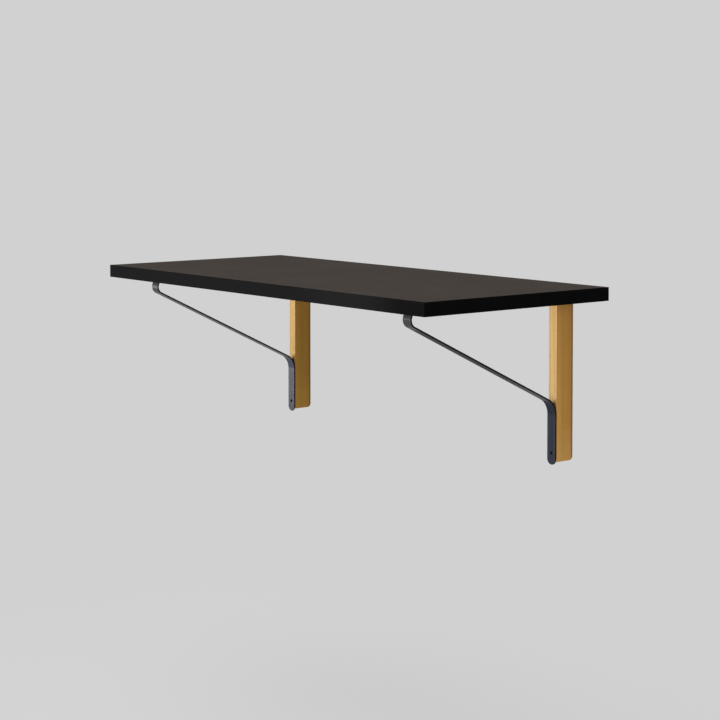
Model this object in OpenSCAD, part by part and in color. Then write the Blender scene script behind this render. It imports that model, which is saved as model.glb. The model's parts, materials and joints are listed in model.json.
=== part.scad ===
// Wall console table: a black board on two oak battens, each braced by one bent flat steel strap.
// X runs along the wall, Y points into the wall and Z up. The wall is the plane Y = 0.
// The origin lies on the wall, midway between the two lower wall screw holes.

/* [Board] */
// Length of the board along the wall
board_w = 1000; // [860:10:1400]
// Depth of the board from the wall to its front edge
board_d = 440; // [400:5:600]
// Full thickness of the board
board_t = 25; // [20:1:40]
// Thickness of the top sheet
top_t = 2; // [1:0.5:4]
// Thickness of the backing sheet
backing_t = 1; // [0.5:0.5:3]
// Thickness of the edge bands round the board
band_t = 2; // [1:0.5:6]
// Radius on the outer arrises of the edge bands
band_edge_r = 0.8; // [0.3:0.1:0.9]

/* [Brackets] */
// Distance from each end of the board to the middle of its bracket
bracket_overhang = 100; // [60:5:250]
// Distance from the wall to the front of the strap's front bend
bracket_reach = 394; // [300:2:436]

/* [Battens] */
// Width of a batten along the wall
batten_w = 21; // [18:1:32]
// Depth of a batten, from the wall to its front face
batten_d = 42; // [34:1:60]
// Height of a batten
batten_h = 299; // [250:1:400]
// Radius on a batten's upright edges
batten_edge_r = 1; // [0.5:0.25:3]
// Radius of a batten's lower rear corner
batten_foot_r = 8; // [3:0.5:16]

/* [Straps] */
// Width of the strap
strap_w = 22; // [17:1:32]
// Thickness of the strap
strap_t = 3; // [2.75:0.25:5]
// Bevel on the strap's edges
strap_bevel = 0.4; // [0.2:0.1:0.8]
// Inner radius of the front bend
front_bend_r = 13; // [6:1:24]
// Radius of the knee on its hollow side
knee_r = 24; // [10:1:40]
// Height of the lower leg, from the strap's lower end to the knee
leg_h = 97.5; // [60:0.5:130]
// How far the strap's lower end stands below the batten
tail = 5.5; // [0:0.5:15]
// Distance of the strap's rear end from the wall
rear_gap = 2; // [0:0.5:8]

/* [Wall fixing] */
// Height of the wall screw hole above the strap's lower end
wall_hole_up = 22; // [14:0.5:40]
// Radius of the wall screw hole
wall_hole_r = 2.75; // [2:0.25:3.5]
// Bevel round the wall screw hole
wall_hole_bevel = 0.5; // [0.25:0.25:1.5]
// Width of a keyhole plate
plate_w = 15; // [14:0.5:16]
// Height of a keyhole plate
plate_h = 46; // [42:1:70]
// Thickness of a keyhole plate
plate_t = 2; // [1.5:0.25:3]
// Distance from the points of the batten screws down to the keyhole plate
plate_below = 8; // [4:1:60]
// Radius of the keyhole's round entry
entry_r = 4.5; // [3.75:0.25:5]
// Width of the keyhole's slot
slot_w = 4.8; // [4:0.2:6]
// Rise from the centre of the entry to the upper end of the slot
slot_rise = 12; // [9:0.5:14]
// Depth of the pocket behind the keyhole plate, for the head of the wall screw
pocket_deep = 9; // [5:0.5:14]
// Side clearance of the pocket round the keyhole
pocket_gap = 1; // [0.5:0.25:1.5]
// Clearance of the plate's recess all round
plate_gap = 0.2; // [0.1:0.1:0.4]

/* [Screws] */
// Number of screws from each strap into the board
board_screws = 3; // [2:1:5]
// Length of a board screw
board_screw_l = 20; // [14:1:22]
// Shank radius of a board screw
board_screw_r = 2; // [1.5:0.25:2.5]
// Head radius of a board screw
board_head_r = 4; // [3.5:0.25:4.5]
// Distance of the foremost board screw behind the front of the strap
board_screw_set = 44; // [36:1:80]
// Distance of the rearmost board screw in front of the batten
board_screw_rear = 36; // [20:1:80]
// Length of a batten screw
batten_screw_l = 40; // [25:1:50]
// Shank radius of a batten screw
batten_screw_r = 2.25; // [1.5:0.25:2.5]
// Head radius of a batten screw
batten_head_r = 4.25; // [3.75:0.25:4.5]
// Distance between the two batten screws
batten_screw_pitch = 20; // [12:1:22]
// Length of a keyhole plate's screw
plate_screw_l = 14; // [8:1:16]
// Shank radius of a keyhole plate's screw
plate_screw_r = 1.5; // [1.25:0.25:1.75]
// Head radius of a keyhole plate's screw
plate_head_r = 2.9; // [2.5:0.1:3]
// Distance of a keyhole plate's screws from its ends
plate_screw_in = 5; // [4.5:0.5:7]
// Clearance round a screw in its hole
screw_gap = 0.15; // [0.05:0.05:0.3]

/* [Hidden] */
$fn = 48;

// Heights, measured from the wall screw holes
strap_end_z = -wall_hole_up;
batten_foot_z = strap_end_z + tail;
batten_top_z = batten_foot_z + batten_h;
board_under_z = batten_top_z + strap_t;
board_top_z = board_under_z + board_t;
core_low_z = board_under_z + backing_t;
core_t = board_t - top_t - backing_t;
knee_z = strap_end_z + leg_h;
plate_z = board_under_z - batten_screw_l - plate_below - plate_h / 2;

// The core and both sheets fill the frame of edge bands
field_w = board_w - 2 * band_t;
field_d = board_d - 2 * band_t;

// Centres of the strap's two bends, as [y, z], and the radius of its visible face at each
bend_face_r = front_bend_r + strap_t;
bend_c = [bend_face_r - bracket_reach, board_under_z - bend_face_r];
knee_c = [-batten_d - strap_t - knee_r, knee_z];

// The brace is the common tangent that passes under the front bend and over the knee's centre
span = knee_c - bend_c;
brace_angle = atan2(-span.y, span.x) - asin((bend_face_r + knee_r) / norm(span));
brace_l = sqrt(span * span - pow(bend_face_r + knee_r, 2));
brace_start = bend_c - bend_face_r * [sin(brace_angle), cos(brace_angle)];

// Places of the screws along the top leg, measured along Y
board_screw_front = board_screw_set - bracket_reach;
board_screw_back = -batten_d - board_screw_rear;
board_screw_ys = [for (i = [0:board_screws - 1])
    board_screw_front + i * (board_screw_back - board_screw_front) / (board_screws - 1)];
batten_screw_ys = [for (s = [-1, 1]) -batten_d / 2 + s * batten_screw_pitch / 2];
plate_screw_dz = plate_h / 2 - plate_screw_in;
entry_z = plate_z - slot_rise / 2;

// Depth of a cut that has to pass right through a face
through = 1;
bracket_x = board_w / 2 - bracket_overhang;
wall_rim_r = wall_hole_r + wall_hole_bevel;

// Socket of a screw's drive, whose radius is a share of its head's, and length of its point
drive_depth = 1.4;
drive_share = 0.42;
screw_point_l = 4;

// The slanted brace is thinner than the bends by this inset and reaches this far into them, so
// that its faces end inside theirs
brace_inset = 0.01;
brace_lap = 0.3;

oak = [0.76, 0.60, 0.36];
black_top = [0.25, 0.23, 0.22];
black_edge = [0.06, 0.06, 0.06];
steel_coat = [0.22, 0.23, 0.26];
panel = [0.55, 0.44, 0.32];
zinc = [0.72, 0.72, 0.70];

// Rectangle about the origin with quarter-round corners
module rounded_rect(w, d, r) {
    square([w - 2 * r, d], center = true);
    square([w, d - 2 * r], center = true);
    for (sx = [-1, 1], sy = [-1, 1])
        translate([sx * (w / 2 - r), sy * (d / 2 - r)])
            circle(r);
}

// Upright slot shape: a straight part between two round ends
module stadium(w, l) {
    square([w, l - w], center = true);
    for (s = [-1, 1])
        translate([0, s * (l - w) / 2])
            circle(w / 2);
}

// Countersunk wood screw along -Z, with the top of its head at the origin
module wood_screw(shank_r, head_r, l) {
    head_h = head_r - shank_r;
    difference() {
        rotate_extrude()
            polygon([[0, 0], [head_r, 0], [shank_r, -head_h], [shank_r, screw_point_l - l], [0, -l]]);
        translate([0, 0, -drive_depth])
            cylinder(h = drive_depth + through, r = head_r * drive_share, $fn = 6);
    }
}

// Hole for that screw, with its countersink and running clearance
module screw_hole(shank_r, head_r, l) {
    rim = head_r + screw_gap;
    bore = shank_r + screw_gap;
    translate([0, 0, -l - screw_gap])
        cylinder(h = l + screw_gap + through, r = bore);
    translate([0, 0, bore - rim])
        cylinder(h = rim - bore, r1 = bore, r2 = rim);
    cylinder(h = through, r = rim);
}

// Puts a child on the left or right bracket's middle plane
module on_bracket(side) {
    translate([side * bracket_x, 0, 0])
        children();
}

// The board screws of one strap, driven upwards from under its top leg
module at_board_screws() {
    for (y = board_screw_ys)
        translate([0, y, batten_top_z])
            rotate([180, 0, 0])
                children();
}

// The batten screws of one strap, driven down into the batten's top end
module at_batten_screws() {
    for (y = batten_screw_ys)
        translate([0, y, board_under_z])
            children();
}

// The keyhole plate's screws, driven from the wall side into the batten
module at_plate_screws() {
    for (s = [-1, 1])
        translate([0, 0, plate_z + s * plate_screw_dz])
            rotate([-90, 0, 0])
                children();
}

// A 2D shape drawn in X and Z, carried from the wall plane into the batten
module from_wall(deep) {
    rotate([90, 0, 0])
        linear_extrude(deep)
            children();
}

// The keyhole as drawn on the wall side: round entry below, slot above
module keyhole_outline(grow) {
    translate([0, entry_z])
        circle(entry_r + grow);
    translate([0, entry_z + slot_rise / 2 - slot_w / 4])
        square([slot_w + 2 * grow, slot_rise - slot_w / 2], center = true);
    translate([0, entry_z + slot_rise - slot_w / 2])
        circle(slot_w / 2 + grow);
}

module core_board() {
    color(panel)
    difference() {
        translate([-field_w / 2, -board_d + band_t, core_low_z])
            cube([field_w, field_d, core_t]);
        for (side = [-1, 1])
            on_bracket(side)
                at_board_screws()
                    screw_hole(board_screw_r, board_head_r, board_screw_l);
    }
}

module top_sheet() {
    color(black_top)
    translate([-field_w / 2, -board_d + band_t, board_top_z - top_t])
        cube([field_w, field_d, top_t]);
}

module backing_sheet() {
    color(black_edge)
    difference() {
        translate([-field_w / 2, -board_d + band_t, board_under_z])
            cube([field_w, field_d, backing_t]);
        for (side = [-1, 1])
            on_bracket(side)
                at_board_screws()
                    screw_hole(board_screw_r, board_head_r, board_screw_l);
    }
}

// Outer form of the whole board, with small radii on every arris
module board_form() {
    middle_z = (board_under_z + board_top_z) / 2;
    intersection() {
        translate([0, -board_d / 2, middle_z])
            rotate([90, 0, 0])
                linear_extrude(board_d, center = true)
                    rounded_rect(board_w, board_t, band_edge_r);
        translate([0, -board_d / 2, middle_z])
            rotate([90, 0, 90])
                linear_extrude(board_w, center = true)
                    rounded_rect(board_d, board_t, band_edge_r);
        translate([0, -board_d / 2, board_under_z])
            linear_extrude(board_t)
                rounded_rect(board_w, board_d, band_edge_r);
    }
}

// Edge band with mitred ends along one side of the board: l is that side's length and w the
// board's size across it, and turn carries the band round from the rear side
module edge_band(l, w, turn) {
    color(black_edge)
    intersection() {
        board_form();
        translate([0, -board_d / 2, board_under_z])
            rotate([0, 0, turn])
                linear_extrude(board_t)
                    polygon([
                        [-l / 2, w / 2],
                        [l / 2, w / 2],
                        [l / 2 - band_t, w / 2 - band_t],
                        [-l / 2 + band_t, w / 2 - band_t]
                    ]);
    }
}

module front_edge_band() edge_band(board_w, board_d, 180);
module rear_edge_band() edge_band(board_w, board_d, 0);
module left_edge_band() edge_band(board_d, board_w, 90);
module right_edge_band() edge_band(board_d, board_w, -90);

// Batten seen from the side, with its lower rear corner rounded, drawn in Y and Z
module batten_side() {
    difference() {
        translate([-batten_d, batten_foot_z])
            square([batten_d, batten_h]);
        translate([-batten_foot_r, batten_foot_z])
            difference() {
                translate([0, -through])
                    square([batten_foot_r + through, batten_foot_r + through]);
                translate([0, batten_foot_r])
                    circle(batten_foot_r);
            }
    }
}

module batten(side) {
    color(oak)
    on_bracket(side)
    difference() {
        intersection() {
            translate([0, -batten_d / 2, batten_foot_z])
                linear_extrude(batten_h)
                    rounded_rect(batten_w, batten_d, batten_edge_r);
            rotate([90, 0, 90])
                linear_extrude(batten_w, center = true)
                    batten_side();
        }
        translate([0, through, 0])
            rotate([90, 0, 0])
                cylinder(h = batten_d + 2 * through, r = wall_hole_r);
        at_batten_screws()
            screw_hole(batten_screw_r, batten_head_r, batten_screw_l);
        at_plate_screws()
            screw_hole(plate_screw_r, plate_head_r, plate_screw_l);
        translate([0, through, 0])
            from_wall(plate_t + through)
                translate([0, plate_z])
                    stadium(plate_w + 2 * plate_gap, plate_h + 2 * plate_gap);
        translate([0, through, 0])
            from_wall(plate_t + pocket_deep + through)
                keyhole_outline(pocket_gap);
    }
}

// Section of the flat bar, less an inset all round: x across its width, y from its visible
// face at 0 down to its back
function bar_section(inset) = [
    [-strap_w / 2 + strap_bevel, -inset],
    [strap_w / 2 - strap_bevel, -inset],
    [strap_w / 2 - inset, -strap_bevel],
    [strap_w / 2 - inset, strap_bevel - strap_t],
    [strap_w / 2 - strap_bevel, inset - strap_t],
    [-strap_w / 2 + strap_bevel, inset - strap_t],
    [-strap_w / 2 + inset, strap_bevel - strap_t],
    [-strap_w / 2 + inset, -strap_bevel]
];

// Straight run of the bar from a point [y, z] of its visible face, heading at an angle above +Y.
// It starts a lap early and ends a lap late, to reach into the bends at its ends
module run(from, heading, l, inset = 0, lap = 0) {
    translate([0, from.x, from.y])
        rotate([heading - 90, 0, 0])
            translate([0, 0, -lap])
                linear_extrude(l + 2 * lap)
                    polygon(bar_section(inset));
}

// Bend of the bar round a centre [y, z]: hollow is 1 where the visible face is on the inside
module bend(centre, start, sweep, face_r, hollow) {
    translate([0, centre.x, centre.y])
        rotate([90, 0, 90])
            rotate([0, 0, start])
                rotate_extrude(angle = sweep)
                    polygon([for (p = bar_section(0)) [face_r - hollow * p.y, p.x]]);
}

// Full-round lower end of the bar, half a turn about the axis of its thickness
module round_end() {
    translate([0, -batten_d, strap_end_z + strap_w / 2])
        rotate([90, 0, 0])
            rotate([0, 0, 180])
                rotate_extrude(angle = 180)
                    polygon([
                        [0, 0],
                        [strap_w / 2 - strap_bevel, 0],
                        [strap_w / 2, strap_bevel],
                        [strap_w / 2, strap_t - strap_bevel],
                        [strap_w / 2 - strap_bevel, strap_t],
                        [0, strap_t]
                    ]);
}

// One strap, bent from one bar: top leg, front bend, brace, knee and lower leg with a round end
module strap(side) {
    top_leg_l = bracket_reach - bend_face_r - rear_gap;
    lower_leg_l = leg_h - strap_w / 2;
    color(steel_coat)
    on_bracket(side)
    difference() {
        union() {
            run([-rear_gap, board_under_z], 180, top_leg_l);
            bend(bend_c, 90, 180 - brace_angle, bend_face_r, -1);
            run(brace_start, -brace_angle, brace_l, brace_inset, brace_lap);
            bend(knee_c, 0, 90 - brace_angle, knee_r, 1);
            run([-batten_d - strap_t, knee_z], 270, lower_leg_l);
            round_end();
        }
        at_board_screws()
            screw_hole(board_screw_r, board_head_r, board_screw_l);
        at_batten_screws()
            screw_hole(batten_screw_r, batten_head_r, batten_screw_l);
        translate([0, through - batten_d, 0])
            rotate([90, 0, 0])
                cylinder(h = strap_t + 2 * through, r = wall_hole_r);
        translate([0, wall_hole_bevel - batten_d - strap_t, 0])
            rotate([90, 0, 0])
                cylinder(h = wall_hole_bevel, r1 = wall_hole_r, r2 = wall_rim_r);
        translate([0, -batten_d - strap_t, 0])
            rotate([90, 0, 0])
                cylinder(h = through, r = wall_rim_r);
    }
}

module keyhole_plate(side) {
    color(zinc)
    on_bracket(side)
    difference() {
        from_wall(plate_t)
            difference() {
                translate([0, plate_z])
                    stadium(plate_w, plate_h);
                keyhole_outline(0);
            }
        at_plate_screws()
            screw_hole(plate_screw_r, plate_head_r, plate_screw_l);
    }
}

module keyhole_screws(side) {
    color(zinc)
    on_bracket(side)
        at_plate_screws()
            wood_screw(plate_screw_r, plate_head_r, plate_screw_l);
}

module strap_board_screws(side) {
    color(black_edge)
    on_bracket(side)
        at_board_screws()
            wood_screw(board_screw_r, board_head_r, board_screw_l);
}

module strap_batten_screws(side) {
    color(black_edge)
    on_bracket(side)
        at_batten_screws()
            wood_screw(batten_screw_r, batten_head_r, batten_screw_l);
}

module left_batten() batten(-1);
module right_batten() batten(1);
module left_strap() strap(-1);
module right_strap() strap(1);
module left_keyhole_plate() keyhole_plate(-1);
module right_keyhole_plate() keyhole_plate(1);
module left_keyhole_screws() keyhole_screws(-1);
module right_keyhole_screws() keyhole_screws(1);
module left_board_screws() strap_board_screws(-1);
module right_board_screws() strap_board_screws(1);
module left_batten_screws() strap_batten_screws(-1);
module right_batten_screws() strap_batten_screws(1);

core_board();
top_sheet();
backing_sheet();
front_edge_band();
rear_edge_band();
left_edge_band();
right_edge_band();
left_batten();
right_batten();
left_strap();
right_strap();
left_keyhole_plate();
right_keyhole_plate();
left_keyhole_screws();
right_keyhole_screws();
left_board_screws();
right_board_screws();
left_batten_screws();
right_batten_screws();
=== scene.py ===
import json
import math

import bmesh
import bpy
import numpy as np
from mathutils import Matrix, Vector


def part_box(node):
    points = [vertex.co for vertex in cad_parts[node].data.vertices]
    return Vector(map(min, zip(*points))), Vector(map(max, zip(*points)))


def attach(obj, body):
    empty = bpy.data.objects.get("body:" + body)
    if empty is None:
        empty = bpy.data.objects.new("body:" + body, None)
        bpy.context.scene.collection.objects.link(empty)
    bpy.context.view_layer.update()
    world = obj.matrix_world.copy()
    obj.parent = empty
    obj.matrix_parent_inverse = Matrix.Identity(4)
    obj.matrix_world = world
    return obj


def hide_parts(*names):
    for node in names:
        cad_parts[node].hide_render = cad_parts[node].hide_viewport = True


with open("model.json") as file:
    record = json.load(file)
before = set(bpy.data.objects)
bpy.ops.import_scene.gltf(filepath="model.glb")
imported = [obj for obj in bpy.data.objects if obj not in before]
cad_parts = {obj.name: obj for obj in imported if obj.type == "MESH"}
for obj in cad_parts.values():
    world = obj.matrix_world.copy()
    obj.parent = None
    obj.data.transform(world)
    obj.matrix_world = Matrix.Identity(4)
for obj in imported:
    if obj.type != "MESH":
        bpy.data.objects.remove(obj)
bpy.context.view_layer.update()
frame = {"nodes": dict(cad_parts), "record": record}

# Wall console table. X runs along the wall, Y into the wall and Z up, in metres.

MM = 0.001
SIDES = ("left", "right")
BANDS = ("front_edge_band", "right_edge_band", "rear_edge_band", "left_edge_band")

# Sizes of the straps that their boxes don't give. The photographed knee is rounder than the solid's.
# The leg is shorter by as much as keeps the brace on the solid's line.
front_bend_r = 13 * MM
knee_r = 32 * MM
leg_h = 92.5 * MM
strap_edge_r = 0.8 * MM
wall_hole_up = 22 * MM
wall_hole_r = 2.75 * MM
wall_hole_bevel = 0.5 * MM

# Rounded edges of the battens, and what is let into their backs
batten_edge_r = 1 * MM
batten_corner_r = 1 * MM
batten_foot_r = 8 * MM
plate_gap = 0.2 * MM
entry_r = 4.5 * MM
slot_w = 4.8 * MM
slot_rise = 12 * MM
pocket_deep = 9 * MM
pocket_gap = 1 * MM

# Screws, each row with its number of screws, and the clearance of their holes
screw_gap = 0.15 * MM
board_screws = {"shank": 2 * MM, "head": 4 * MM, "length": 20 * MM, "count": 3}
batten_screws = {"shank": 2.25 * MM, "head": 4.25 * MM, "length": 40 * MM, "count": 2}

# Arrises of the edge bands
band_edge_r = 0.8 * MM
band_inner_r = 0.1 * MM

arc_steps = 8
bend_steps = 40
turned_steps = 64
cut_past = 1 * MM

# Half the stretch over which the left bracket's finish and painted light turn into the right one's, and
# the heights from which and to which the painted light and shade by the knees come in
side_blend = 100 * MM
knee_light_fade = (125 * MM, 98 * MM)


# Meshes worked out as whole arrays

def grid_faces(rows, columns, close_columns=False):
    """Quads of a grid whose points are numbered row by row. Closed columns join the last to the first."""
    i, j = np.meshgrid(
        np.arange(rows - 1), np.arange(columns if close_columns else columns - 1), indexing="ij"
    )
    k = (j + 1) % columns
    corners = [i * columns + j, i * columns + k, (i + 1) * columns + k, (i + 1) * columns + j]
    return list(np.stack(corners, -1).reshape(-1, 4))


def tube_faces(rows, columns):
    """Quads round a closed section carried through the rows, and one flat face at each end."""
    ends = [np.arange(columns)[::-1], np.arange(columns) + (rows - 1) * columns]
    return grid_faces(rows, columns, close_columns=True) + ends


def make_object(name, points, faces):
    """A mesh object at the origin, with its doubles merged and its faces turned outwards."""
    mesh = bpy.data.meshes.new(name)
    mesh.from_pydata(points.reshape(-1, 3).tolist(), [], [face.tolist() for face in faces])
    tidy = bmesh.new()
    tidy.from_mesh(mesh)
    bmesh.ops.remove_doubles(tidy, verts=tidy.verts, dist=1e-6)
    bmesh.ops.recalc_face_normals(tidy, faces=tidy.faces)
    tidy.to_mesh(mesh)
    tidy.free()
    made = bpy.data.objects.new(name, mesh)
    bpy.context.scene.collection.objects.link(made)
    return made


def rounded_rectangle(low, high, radii, steps=arc_steps):
    """Closed outline of a rectangle and its outward normals, as two arrays.

    Each corner is a quarter arc, centre + radius * normal, whose centre lies one radius in from
    both sides. The corners go anticlockwise from the lowest, and the radii with them.
    """
    low, high = np.array(low, float), np.array(high, float)
    radii = np.broadcast_to(np.array(radii, float), 4)
    side = np.array([[0, 0], [1, 0], [1, 1], [0, 1]])
    centre = low + side * (high - low) + (1 - 2 * side) * radii[:, None]
    angle = math.pi + math.pi / 2 * (np.arange(4)[:, None] + np.linspace(0, 1, steps + 1))
    normal = np.stack([np.cos(angle), np.sin(angle)], -1)
    points = centre[:, None] + radii[:, None, None] * normal
    return points.reshape(-1, 2), normal.reshape(-1, 2)


def slab(name, outline, normal, low, high, rim, place):
    """Plate with rounded rims: the outline carried from low to high through the thickness.

    Ring t of a rim, from 0 at the face to 90 degrees at the side, is drawn in by rim * (1 - sin t)
    and lies rim * (1 - cos t) below the face. place stacks outline and height into points.
    """
    turn = np.linspace(0, math.pi / 2, arc_steps + 1)
    inset = rim * (1 - np.sin(turn))
    sink = rim * (1 - np.cos(turn))
    inset = np.concatenate([inset, inset[::-1]])
    height = np.concatenate([low + sink, (high - sink)[::-1]])
    flat = outline - inset[:, None, None] * normal
    height = np.broadcast_to(height[:, None], flat.shape[:2])
    return make_object(name, place(flat[..., 0], flat[..., 1], height), tube_faces(*flat.shape[:2]))


def turned(name, profile, origin, axis):
    """Solid of revolution: each profile point is (radius, distance along the axis from the origin)."""
    axis = Vector(axis)
    across = axis.orthogonal().normalized()
    other = np.array(axis.cross(across))
    angle = np.linspace(0, 2 * math.pi, turned_steps, endpoint=False)[:, None]
    ring = np.cos(angle) * np.array(across) + np.sin(angle) * other
    radius, along = np.array(profile, float).T[..., None, None]
    points = np.array(origin) + radius * ring + along * np.array(axis)
    return make_object(name, points, tube_faces(len(profile), turned_steps))


def screw_holes(node, screws, height, up):
    """Cutters for a node's row of countersunk screws along Y, whose heads lie flush at that height."""
    low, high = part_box(node)
    bore, rim = screws["shank"] + screw_gap, screws["head"] + screw_gap
    profile = [(bore, -screws["length"] - screw_gap), (bore, bore - rim), (rim, 0), (rim, cut_past)]
    rows = np.linspace(low.y + screws["head"], high.y - screws["head"], screws["count"])
    middle = (low.x + high.x) / 2
    return [turned("cutter", profile, (middle, y, height), (0, 0, up)) for y in rows]


def cut(piece, cutters):
    """Takes the cutters out of the piece and leaves one plain mesh."""
    for cutter in cutters:
        change = piece.modifiers.new("cut", "BOOLEAN")
        change.operation = "DIFFERENCE"
        change.solver = "EXACT"
        change.object = cutter
    bpy.context.view_layer.update()
    result = piece.evaluated_get(bpy.context.evaluated_depsgraph_get())
    solid = bpy.data.meshes.new_from_object(result)
    piece.modifiers.clear()
    piece.data = solid
    for cutter in cutters:
        bpy.data.objects.remove(cutter)
    return piece


def finish_piece(piece, material, slot, *nodes):
    """Shades round edges round and flat faces flat, and sets the piece in the frame for its nodes."""
    piece.data.shade_smooth()
    piece.data.set_sharp_from_angle(angle=math.radians(32))
    weighted = piece.modifiers.new("flat faces", "WEIGHTED_NORMAL")
    weighted.keep_sharp = True
    piece.data.materials.clear()
    piece.data.materials.append(material)
    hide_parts(*nodes)
    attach(piece, "root")


# Straps

def strap_path(side):
    """Stations along the strap's visible face as points, tangents and normals towards its back.

    The top leg runs forward under the board and turns round the front bend's centre. The brace is
    the common tangent of the front bend and the knee: its slope is that of the line between their
    centres, less asin(sum of both radii / distance). The knee turns it into the lower leg.
    """
    low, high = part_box(side + "_strap")
    batten_low, batten_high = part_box(side + "_batten")
    thick = high.z - batten_high.z
    face_r = front_bend_r + thick
    bend = np.array([low.y + face_r, high.z - face_r])
    knee = np.array([batten_low.y - thick - knee_r, low.z + leg_h])
    span = knee - bend
    slope = math.atan2(-span[1], span[0]) - math.asin((face_r + knee_r) / np.linalg.norm(span))

    turn = np.linspace(0, math.pi - slope, bend_steps)
    out = np.stack([-np.sin(turn), np.cos(turn)], -1)
    front_bend = [bend + face_r * out, np.stack([-out[:, 1], out[:, 0]], -1), -out]
    turn = np.linspace(math.pi / 2 - slope, 0, bend_steps)
    out = np.stack([np.cos(turn), np.sin(turn)], -1)
    hollow_knee = [knee + knee_r * out, np.stack([out[:, 1], -out[:, 0]], -1), out]

    rear = [np.array([[high.y, high.z]]), front_bend[1][:1], front_bend[2][:1]]
    end_centre = np.array([[knee[0] + knee_r, low.z + (high.x - low.x) / 2]])
    foot = [end_centre, hollow_knee[1][-1:], hollow_knee[2][-1:]]
    stations = [np.concatenate(parts) for parts in zip(rear, front_bend, hollow_knee, foot)]
    return stations, thick


def make_strap(side):
    """One bent bar: a rounded section carried along the path, with a full-round lower end.

    At the round end the section turns about the thickness axis: a section point v across lies
    |v| * sin(turn) further along the bar and v * cos(turn) across it, so both edges meet at the tip
    and need no end face there.
    """
    low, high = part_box(side + "_strap")
    middle, half = (low.x + high.x) / 2, (high.x - low.x) / 2
    stations, thick = strap_path(side)
    section, _ = rounded_rectangle([-half, 0], [half, thick], strap_edge_r, steps=4)
    across, depth = section.T

    end_turn = np.linspace(0, math.pi / 2, bend_steps)[1:]
    turn = np.concatenate([np.zeros(len(stations[0])), end_turn])[:, None]
    point, tangent, inwards = [
        np.concatenate([part, np.repeat(part[-1:], len(end_turn), 0)])[:, None] for part in stations
    ]
    along = np.abs(across) * np.sin(turn)
    plane = point + along[..., None] * tangent + depth[:, None] * inwards
    points = np.stack([middle + across * np.cos(turn), plane[..., 0], plane[..., 1]], -1)
    strap = make_object(side + "_bent_strap", points, tube_faces(*points.shape[:2])[:-1])

    rim_r = wall_hole_r + wall_hole_bevel
    profile = [(wall_hole_r, -thick - cut_past), (wall_hole_r, -wall_hole_bevel), (rim_r, 0),
               (rim_r, cut_past)]
    wall_hole = turned("cutter", profile, (middle, point[-1, 0, 0], low.z + wall_hole_up), (0, -1, 0))
    under_holes = screw_holes(side + "_board_screws", board_screws, high.z - thick, -1)
    upper_holes = screw_holes(side + "_batten_screws", batten_screws, high.z, 1)
    return cut(strap, [wall_hole, *under_holes, *upper_holes])


# Battens

def make_batten(side):
    """Upright slab with rounded rims, whose outline from the side has one large corner at its foot."""
    low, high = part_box(side + "_batten")
    plate_low, plate_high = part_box(side + "_keyhole_plate")
    strap_low, strap_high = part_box(side + "_strap")
    radii = [batten_corner_r, batten_foot_r, batten_corner_r, batten_corner_r]
    outline, normal = rounded_rectangle([low.y, low.z], [high.y, high.z], radii)
    batten = slab(side + "_oak_batten", outline, normal, low.x, high.x, batten_edge_r,
                  lambda y, z, x: np.stack([x, y, z], -1))

    middle = (low.x + high.x) / 2
    bore = [(wall_hole_r, -cut_past), (wall_hole_r, high.y - low.y + cut_past)]
    wall_hole = turned("cutter", bore, (middle, low.y, strap_low.z + wall_hole_up), (0, 1, 0))
    top_holes = screw_holes(side + "_batten_screws", batten_screws, strap_high.z, 1)

    plate_z = (plate_low.z + plate_high.z) / 2
    plate_t = plate_high.y - plate_low.y
    half_w = (plate_high.x - plate_low.x) / 2 + plate_gap
    half_h = (plate_high.z - plate_low.z) / 2 + plate_gap
    recess = rounded_pocket(middle, plate_z - half_h, plate_z + half_h, half_w, plate_t)
    entry_z = plate_z - slot_rise / 2
    head_r = entry_r + pocket_gap
    entry = rounded_pocket(middle, entry_z - head_r, entry_z + head_r, head_r, plate_t + pocket_deep)
    slot_r = slot_w / 2 + pocket_gap
    slot_top = entry_z + slot_rise + pocket_gap
    slot = rounded_pocket(middle, entry_z - slot_r, slot_top, slot_r, plate_t + pocket_deep)
    return cut(batten, [wall_hole, *top_holes, recess, entry, slot])


def rounded_pocket(middle, low_z, high_z, radius, deep):
    """Cutter with full-round ends, cut that deep into the batten from the wall plane."""
    outline, normal = rounded_rectangle([middle - radius, low_z], [middle + radius, high_z], radius, 16)
    return slab("cutter", outline, normal, -deep, cut_past, 0, lambda x, z, y: np.stack([x, y, z], -1))


# Edge bands

def make_band(node, quarter):
    """Edge band of one side: its profile carried along the side from mitre to mitre.

    A profile point d in from the outer face keeps that distance along the side. At each end it
    turns 45 degrees about the centre of the board's corner arc, at the radius corner - d, and so
    stops in the mitre plane. A point further in than the arc runs straight to that plane.
    """
    boxes = [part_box(name) for name in BANDS]
    low = np.min([box[0] for box in boxes], 0)
    high = np.max([box[1] for box in boxes], 0)
    band_low, band_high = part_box(node)
    band_t = min(band_high.x - band_low.x, band_high.y - band_low.y)
    size, middle = high - low, (high + low) / 2
    length, width = (size[0], size[1]) if quarter % 2 == 0 else (size[1], size[0])

    radii = [band_edge_r, band_inner_r, band_inner_r, band_edge_r]
    profile, _ = rounded_rectangle([0, low[2]], [band_t, high[2]], radii)
    d, z = profile.T
    turn = np.linspace(0, math.pi / 4, arc_steps + 1)[:, None]
    outer = np.maximum(band_edge_r - d, 0)
    inner = np.maximum(band_edge_r, d)
    along = length / 2 - inner + outer * np.sin(turn)
    away = width / 2 - inner + outer * np.cos(turn)
    along = np.concatenate([-along[::-1], along])
    away = np.concatenate([away[::-1], away])
    angle = quarter * math.pi / 2
    x = middle[0] + along * math.cos(angle) + away * math.sin(angle)
    y = middle[1] + along * math.sin(angle) - away * math.cos(angle)
    points = np.stack([x, y, np.broadcast_to(z, x.shape)], -1)
    return make_object(node + "_strip", points, tube_faces(*x.shape))


# Shader maths

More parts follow.
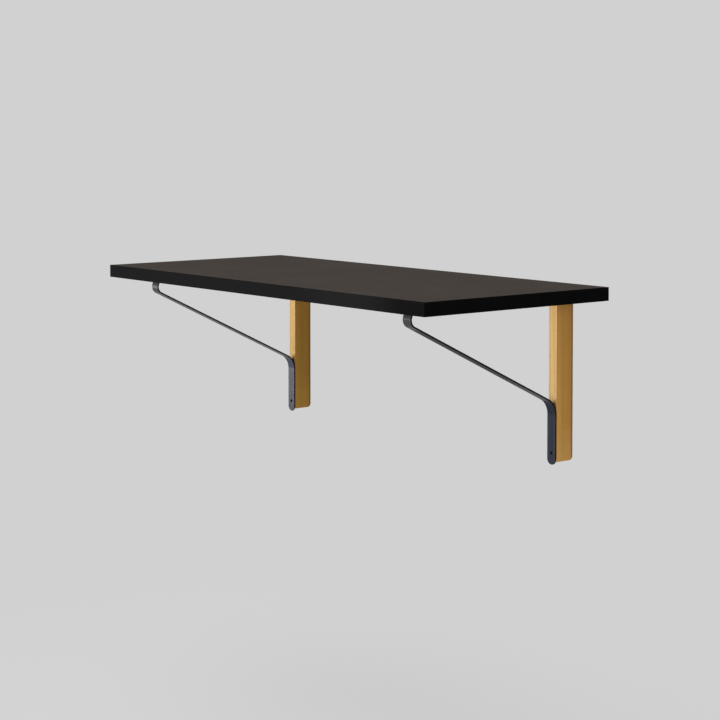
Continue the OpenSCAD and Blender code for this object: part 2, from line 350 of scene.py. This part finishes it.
class Field:
    """One output of a shader node. Arithmetic on it adds Math nodes."""

    def __init__(self, nodes, socket):
        self.nodes = nodes
        self.socket = socket

    def math(self, operation, *values):
        return self.nodes.add("Math", {"operation": operation}, dict(enumerate(values)))

    def __add__(self, other):
        return self.math("ADD", self, other)

    def __sub__(self, other):
        return self.math("SUBTRACT", self, other)

    def __rsub__(self, other):
        return self.math("SUBTRACT", other, self)

    def __mul__(self, other):
        return self.math("MULTIPLY", self, other)

    def __truediv__(self, other):
        return self.math("DIVIDE", self, other)

    def __pow__(self, other):
        return self.math("POWER", self, other)

    def __abs__(self):
        return self.math("ABSOLUTE", self)

    __radd__ = __add__
    __rmul__ = __mul__


class Nodes:
    """The node tree of one material or world, and the ways to add to it."""

    def __init__(self, owner):
        owner.use_nodes = True
        self.tree = owner.node_tree
        self.tree.nodes.clear()

    def add(self, kind, settings=None, inputs=None, output=0):
        """Adds a node. Its settings are set first, then each socket gets its value or its link."""
        node = self.tree.nodes.new("ShaderNode" + kind)
        for key, value in (settings or {}).items():
            setattr(node, key, value)
        for key, value in (inputs or {}).items():
            if isinstance(value, Field):
                self.tree.links.new(value.socket, node.inputs[key])
            else:
                node.inputs[key].default_value = value
        return Field(self, node.outputs[output]) if len(node.outputs) else node

    def place(self, stretch=(1, 1, 1)):
        """Object coordinates, in metres, times stretch: a small number draws the pattern out."""
        point = self.add("TexCoord", output="Object")
        return self.add("Mapping", {}, {"Vector": point, "Scale": stretch})

    def coordinate(self, axis):
        """One of the object coordinates, in metres."""
        return self.add("SeparateXYZ", {}, {"Vector": self.add("TexCoord", output="Object")}, output=axis)

    def noise(self, point, size, detail, roughness=0.5):
        """Noise from 0 to 1, whose coarsest lumps are about size across."""
        inputs = {"Vector": point, "Scale": 1 / size, "Detail": detail, "Roughness": roughness}
        return self.add("TexNoise", {}, inputs)

    def step(self, value, low, high):
        """0 below low, 1 above high and smooth between them."""
        inputs = {"Value": value, "From Min": low, "From Max": high}
        return self.add("MapRange", {"interpolation_type": "SMOOTHSTEP"}, inputs)

    def mix(self, factor, first, second, blend="MIX"):
        """Two colours mixed by the factor."""
        return self.add("Mix", {"data_type": "RGBA", "blend_type": blend},
                        {0: factor, 6: first, 7: second}, output=2)

    def larger(self, first, second):
        """The larger of two numbers."""
        return self.add("Math", {"operation": "MAXIMUM"}, {0: first, 1: second})

    def bump(self, height, depth, strength):
        """Normal of a surface whose height, from 0 to 1, stands for that depth in metres."""
        return self.add("Bump", {}, {"Strength": strength, "Distance": depth, "Height": height})


def colour(red, green, blue):
    """Linear colour of an sRGB colour given from 0 to 255."""
    share = np.array([red, green, blue]) / 255
    linear = np.where(share <= 0.04045, share / 12.92, ((share + 0.055) / 1.055) ** 2.4)
    return (*linear.tolist(), 1.0)


def material(name, paint, **plain):
    """Material whose varied inputs come from paint(nodes), and whose even ones are set on the shader."""
    made = bpy.data.materials.new(name)
    nodes = Nodes(made)
    surface = nodes.add("BsdfPrincipled", {}, {**plain, **paint(nodes)})
    nodes.add("OutputMaterial", {}, {"Surface": surface})
    return made


# Finishes

def top_sheet_paint(nodes):
    """Warm matt black sheet: a cloudy ground with fine light and dark flecks and a pebbled face."""
    cloud = nodes.step(nodes.noise(nodes.place(), 110 * MM, 2), 0.3, 0.7)
    fleck = nodes.noise(nodes.place(), 1.4 * MM, 3, 0.6)
    pebble = nodes.noise(nodes.place(), 0.5 * MM, 2)
    ground = nodes.mix(cloud, colour(54, 45, 40), colour(57, 50, 45))
    flecked = nodes.mix(nodes.step(fleck, 0.56, 0.72), ground, colour(78, 70, 64))
    return {
        "Base Color": nodes.mix(nodes.step(fleck, 0.44, 0.30), flecked, colour(44, 38, 34)),
        "Roughness": 0.68 + 0.1 * fleck,
        "Normal": nodes.bump(pebble, 0.02 * MM, 0.5),
    }


def edge_band_paint(nodes):
    """Black band with faint long scraper lines, a slight haze and a painted sheen right of the middle."""
    lines = nodes.noise(nodes.place((0.02, 0.02, 1)), 0.5 * MM, 3)
    haze = nodes.noise(nodes.place(), 30 * MM, 3)
    x = nodes.coordinate("X")
    # Painted sheen on the front and rear bands, right of the middle
    painted_sheen = nodes.step(x, 80 * MM, 300 * MM) * nodes.step(x, 440 * MM, 340 * MM)
    black = nodes.mix(haze, colour(11, 11, 11), colour(16, 16, 16))
    return {
        # Lighter where the painted sheen lies
        "Base Color": nodes.mix(painted_sheen, black, colour(25, 25, 25)),
        "Roughness": 0.2 + 0.06 * lines + 0.04 * haze,
        "Normal": nodes.bump(lines, 0.01 * MM, 0.2),
    }


def backing_paint(nodes):
    """Black backing sheet with a fine sanded tooth."""
    tooth = nodes.noise(nodes.place(), 0.8 * MM, 3)
    haze = nodes.noise(nodes.place(), 60 * MM, 3)
    return {
        "Base Color": nodes.mix(haze, colour(20, 20, 20), colour(29, 28, 27)),
        "Roughness": 0.6 + 0.15 * tooth,
        "Normal": nodes.bump(tooth, 0.03 * MM, 0.5),
    }


def core_paint(nodes):
    """Fibre panel: short pale and dark fibres on tan."""
    fibre = nodes.noise(nodes.place((1, 1, 3)), 1.2 * MM, 4, 0.65)
    return {
        "Base Color": nodes.mix(fibre, colour(158, 130, 98), colour(196, 170, 134)),
        "Roughness": 0.75 + 0.1 * fibre,
        "Normal": nodes.bump(fibre, 0.05 * MM, 0.5),
    }


def oak_paint(nodes):
    """Oiled oak with its grain upright, pale on the faces and honey brown on the flanks.

    Growth rings are the distance from the tree's heart, which lies behind and beside each batten,
    wobbled by slow noise and cut into layers. Each layer starts with open pores, which show as
    short dark upright dashes, and ends in smooth dense wood.

    The flanks, across the board's length, darken from front to rear. Each has a wandering olive
    stripe and ruddy streaks, painted light at the foot and painted shade along the rear arris. The left
    batten is darker by painted shade, and its flanks are also more olive. The front has painted light
    just above the strap's knee, where the knee shades it. The bore of the wall hole has painted shade in
    and round it.
    """
    low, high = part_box("right_batten")
    half_w, middle = (high.x - low.x) / 2, (high.x + low.x) / 2
    x, y, z = [nodes.coordinate(axis) for axis in "XYZ"]
    flank = nodes.step(abs(abs(x) - middle), half_w - 0.9 * MM, half_w - 0.1 * MM)
    rear = nodes.step(y, low.y, high.y)
    # Painted shade along the rear arris of the flanks
    arris = nodes.step(y, high.y - 6 * MM, high.y - 3 * MM)
    # Painted light at the foot of the flanks
    from_foot = nodes.step(z, 70 * MM, -15 * MM)
    # The left batten's painted shade, and its more olive flanks
    left = nodes.step(x, side_blend, -side_blend)
    from_bore = ((abs(x) - middle) ** 2 + z ** 2) ** 0.5
    # Painted light on the front just above the strap's knee
    knee_painted_light = nodes.step(z, 70 * MM, 85 * MM) * nodes.step(z, *knee_light_fade)
    # Painted shade in and round the bore of the wall hole
    bore_shade = nodes.step(from_bore, wall_hole_r + 0.5 * MM, wall_hole_r + 0.1 * MM)

    wobble = nodes.noise(nodes.place((1, 1, 0.045)), 26 * MM, 2)
    heart_x, heart_y, ring_w = 372 * MM, 46 * MM, 2.6 * MM
    radius = ((abs(x) - heart_x) ** 2 + (y - heart_y) ** 2) ** 0.5
    layer = (radius + 7 * MM * wobble) / ring_w
    age = layer.math("FRACT", layer)

    streak = nodes.noise(nodes.place((1, 1, 0.03)), 9 * MM, 2)
    stripe_y = low.y + 26 * MM
    stripe = nodes.step(abs(y - stripe_y + 18 * MM * wobble), 11 * MM, 3 * MM)
    fine = nodes.noise(nodes.place((1, 1, 0.03)), 1.1 * MM, 2)
    pore_spots = nodes.noise(nodes.place((1, 1, 0.07)), 0.45 * MM, 1)
    open_wood = nodes.step(age, 0.55, 0.1)
    pores = nodes.step(pore_spots, 0.60, 0.68) * (0.25 + 0.75 * open_wood)
    flecks = nodes.step(nodes.noise(nodes.place((0.35, 1, 0.4)), 2.4 * MM, 1), 0.66, 0.74)

    bare = nodes.mix(streak, colour(211, 167, 98), colour(229, 187, 116))
    # Painted light above the knee
    face = nodes.mix(0.6 * knee_painted_light, bare, colour(246, 204, 134))
    brown = nodes.mix(rear, colour(211, 155, 78), colour(178, 127, 52))
    olive = nodes.mix(0.8 * stripe, brown, colour(176, 141, 60))
    ruddy = nodes.mix(0.6 * nodes.step(streak, 0.45, 0.65), olive, colour(204, 138, 66))
    # Painted light at the foot
    foot = nodes.mix(0.4 * from_foot, ruddy, colour(224, 174, 104))
    # Painted shade along the rear arris
    side = nodes.mix(0.8 * arris, foot, colour(98, 84, 48))
    plank = nodes.mix(flank, face, side)
    # Painted shade on the left batten, more olive on its flanks
    left_shade_tint = nodes.mix(flank, colour(223, 221, 194), colour(224, 222, 172))
    left_shaded = nodes.mix(left, plank, left_shade_tint, "MULTIPLY")
    ringed = nodes.mix(0.22 * open_wood, left_shaded, colour(168, 118, 62))
    grained = nodes.mix(0.2 * fine, ringed, colour(176, 126, 68))
    flecked = nodes.mix(0.18 * flecks, grained, colour(232, 196, 140))
    pored = nodes.mix(0.45 * pores, flecked, colour(104, 66, 30))
    return {
        # Painted shade in the bore
        "Base Color": nodes.mix(bore_shade, pored, colour(66, 48, 32)),
        "Roughness": 0.5 + 0.14 * fine + 0.1 * pores,
        "Normal": nodes.bump(1 - 0.8 * pores - 0.25 * fine, 0.06 * MM, 0.6),
    }


def coated_steel_paint(nodes):
    """Fine matt powder coat, blue-black, with the low orange peel that such a coat has.

    It has a painted highlight towards the long edges and round the front bend, painted shade in a
    plainer grey along the brace, and painted shade, warm with a painted reflection of the oak, that
    makes the narrow sides nearly black. The knee has painted shade on the right strap and a painted
    sheen on the left, and the right strap's brace is duller.
    """
    low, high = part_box("right_strap")
    half_w, middle = (high.x - low.x) / 2, (high.x + low.x) / 2
    x, y, z = [nodes.coordinate(axis) for axis in "XYZ"]
    left = nodes.step(x, side_blend, -side_blend)
    away = abs(abs(x) - middle)
    # Painted highlight towards the long edges
    edges = nodes.step(away, 3 * MM, 10 * MM)
    # Painted shade on the narrow sides, warm with a painted reflection of the oak
    narrow_side = nodes.step(away, half_w - 1.0 * MM, half_w - 0.4 * MM)
    # Painted shade along the brace
    brace = nodes.step(y, -50 * MM, -200 * MM)
    leg_top = low.z + leg_h
    # Painted sheen on the left knee and painted shade on the right
    knee = nodes.step(z, leg_top - 8 * MM, leg_top + 8 * MM) * nodes.step(z, *knee_light_fade)
    # Painted highlight round the front bend
    front_bend = nodes.step(y, low.y + 32 * MM, low.y + 6 * MM)

    peel = nodes.noise(nodes.place(), 1.6 * MM, 2)
    grit = nodes.noise(nodes.place(), 0.35 * MM, 2)
    cloud = nodes.noise(nodes.place((1, 1, 0.5)), 40 * MM, 3)
    ground = nodes.mix(cloud, colour(45, 49, 58), colour(51, 55, 64))
    # Painted highlight towards the long edges
    edge_highlight = nodes.mix(0.5 * edges, ground, colour(66, 68, 76))
    # Painted sheen on the left knee, painted shade on the right
    knee_sheen_and_shade = nodes.mix(left, colour(43, 45, 52), colour(70, 73, 84))
    bent = nodes.mix(0.9 * knee, edge_highlight, knee_sheen_and_shade)
    # Painted shade in a plainer grey along the brace
    brace_shade = nodes.mix(left, colour(41, 40, 37), colour(42, 43, 43))
    plain = nodes.mix(0.7 * brace, bent, brace_shade)
    # Painted highlight round the front bend
    bend_highlight = nodes.mix(0.65 * front_bend, plain, colour(78, 77, 80))
    coat = nodes.mix(0.3 * nodes.step(grit, 0.5, 0.75), bend_highlight, colour(70, 73, 81))
    return {
        # Painted shade and oak reflection on the narrow sides
        "Base Color": nodes.mix(narrow_side, coat, colour(24, 17, 10)),
        "Roughness": 0.19 + 0.06 * grit + 0.2 * brace * (1 - front_bend) * (1 - left),
        "Normal": nodes.bump(0.6 * peel + 0.4 * grit, 0.03 * MM, 0.3),
    }


def zinc_paint(nodes):
    """Zinc plate: faintly mottled bright grey with fine drawn lines."""
    mottle = nodes.noise(nodes.place(), 3 * MM, 3)
    lines = nodes.noise(nodes.place((1, 1, 0.05)), 0.3 * MM, 2)
    return {
        "Base Color": nodes.mix(mottle, colour(196, 198, 200), colour(222, 220, 208)),
        "Roughness": 0.3 + 0.15 * mottle + 0.08 * lines,
        "Normal": nodes.bump(lines, 0.01 * MM, 0.4),
    }


def black_screw_paint(nodes):
    """Black coated screw, a little worn to grey on its high grain."""
    grain = nodes.noise(nodes.place(), 0.4 * MM, 3)
    return {
        "Base Color": nodes.mix(nodes.step(grain, 0.6, 0.8), colour(24, 24, 26), colour(64, 64, 66)),
        "Roughness": 0.36 + 0.16 * grain,
        "Normal": nodes.bump(grain, 0.02 * MM, 0.4),
    }


# The specular levels are low because the photographed finishes are matt
finishes = {
    "top_surface": material("matt top sheet", top_sheet_paint, **{"Specular IOR Level": 0.05}),
    "edge_band": material("black edge band", edge_band_paint, **{"Specular IOR Level": 0.0014}),
    "backing": material("black backing", backing_paint, **{"Specular IOR Level": 0.15}),
    "panel_core": material("fibre panel", core_paint),
    "oak": material("oiled oak", oak_paint, **{"Specular IOR Level": 0.2}),
    "coated_steel": material("powder coat", coated_steel_paint, **{"Specular IOR Level": 0.02}),
    "zinc_plated_steel": material("zinc plate", zinc_paint, Metallic=1.0),
    "black_screw": material("black screw", black_screw_paint, Metallic=0.3),
}


# Pieces

for part in frame["record"]["subparts"]:
    node = frame["nodes"][part["node"]]
    node.data.materials.clear()
    node.data.materials.append(finishes[part["material_slot"]])

for side in SIDES:
    finish_piece(make_strap(side), finishes["coated_steel"], "coated_steel", side + "_strap")
    finish_piece(make_batten(side), finishes["oak"], "oak", side + "_batten")
for quarter, band in enumerate(BANDS):
    finish_piece(make_band(band, quarter), finishes["edge_band"], "edge_band", band)


# Camera, fitted to the photograph

image_side = 720
focal_px = 1826.1
principal_y_px = 198.57
yaw, pitch = math.radians(51.19), math.radians(2.5)
camera_data = bpy.data.cameras.new("camera")
camera_data.sensor_fit = "HORIZONTAL"
camera_data.sensor_width = 36
camera_data.lens = camera_data.sensor_width * focal_px / image_side
camera_data.shift_y = (principal_y_px - image_side / 2) / image_side
camera = bpy.data.objects.new("camera", camera_data)
camera.location = (2778.6 * MM, -2409.5 * MM, 613.8 * MM)
camera.rotation_euler = (math.pi / 2 - pitch, 0, yaw)
bpy.context.scene.collection.objects.link(camera)
bpy.context.scene.camera = camera


# Studio

backdrop_grey = colour(209, 209, 209)
near_grey = colour(212, 212, 212)
floor_paint = colour(232, 232, 232)
floor_z = -600 * MM
floor_half = 30.0
shadow_share = 0.2
room_light = 0.23


def seen(nodes):
    """1 for a camera ray, and for the glossy and clear rays that show the backdrop in a surface."""
    kinds = ("Camera", "Glossy", "Transmission")
    camera_ray, glossy_ray, clear_ray = [nodes.add("LightPath", output=f"Is {kind} Ray") for kind in kinds]
    return nodes.larger(camera_ray, nodes.larger(glossy_ray, clear_ray))


def make_world():
    """Grey backdrop where it is seen, and a weaker even light from all round."""
    world = bpy.data.worlds.new("studio")
    nodes = Nodes(world)
    light = nodes.add("Background", {}, {"Color": colour(255, 255, 255), "Strength": room_light})
    backdrop = nodes.add("Background", {}, {"Color": backdrop_grey, "Strength": 1.0})
    sky = nodes.add("MixShader", {}, {0: seen(nodes), 1: light, 2: backdrop})
    nodes.add("OutputWorld", {}, {"Surface": sky})
    bpy.context.scene.world = world


def make_floor():
    """Pale floor that keeps the object's shadow faintly near it and fades into the backdrop further out."""
    corners = floor_half * np.array([[-1, -1], [1, -1], [1, 1], [-1, 1]])
    points = np.column_stack([corners, np.full(4, floor_z)])
    floor = make_object("floor", points, [np.arange(4)])
    made = bpy.data.materials.new("pale floor")
    nodes = Nodes(made)
    distance = nodes.add("VectorMath", {"operation": "LENGTH"}, {0: nodes.place()}, output="Value")
    near = nodes.step(distance, 1.6, 0.4)
    paint = nodes.add("BsdfDiffuse", {}, {"Color": floor_paint})
    glow = nodes.add("Emission", {}, {"Color": nodes.mix(near, backdrop_grey, near_grey), "Strength": 1.0})
    shown = nodes.add("MixShader", {}, {0: seen(nodes) * (1 - shadow_share * near), 1: paint, 2: glow})
    nodes.add("OutputMaterial", {}, {"Surface": shown})
    floor.data.materials.append(made)


def soft_box(name, at, towards, width, height, power):
    """Large soft lamp that faces a point. The camera doesn't see it."""
    lamp = bpy.data.lights.new(name, "AREA")
    lamp.shape = "RECTANGLE"
    lamp.size, lamp.size_y = width, height
    lamp.energy = power
    made = bpy.data.objects.new(name, lamp)
    made.location = at
    made.rotation_euler = (Vector(towards) - Vector(at)).to_track_quat("-Z", "Y").to_euler()
    made.visible_camera = False
    bpy.context.scene.collection.objects.link(made)


make_world()
make_floor()

# Each lamp with its place, the point that it faces, its width and height in metres, and its watts
soft_box("front left softbox", (-1.1, -3.2, -0.1), (0, -0.1, 0.1), 0.8, 1.0, 6)
soft_box("front right softbox", (1.9, -2.9, -0.1), (0, -0.1, 0.1), 1.2, 1.0, 22)
soft_box("outer sheen softbox", (-3.7, -2.49, 0.2), (0, -0.44, 0.3), 0.75, 0.9, 34)
soft_box("inner sheen softbox", (-2.96, -2.88, 0.2), (0, -0.44, 0.3), 0.8, 0.9, 68)
soft_box("low sheen softbox", (-3.05, -2.01, -0.4), (-0.4, -0.05, 0.05), 0.93, 0.36, 30)
soft_box("top softbox", (-0.2, -0.9, 3.0), (0, -0.2, 0.3), 2.4, 2.0, 54)
soft_box("right softbox", (3.2, -0.3, 0.9), (0, 0, 0.15), 1.2, 0.8, 14)
soft_box("upper right softbox", (1.9, -0.4, 2.3), (0.4, 0, 0.1), 1.6, 1.2, 6)

bpy.context.scene.view_settings.view_transform = "Standard"
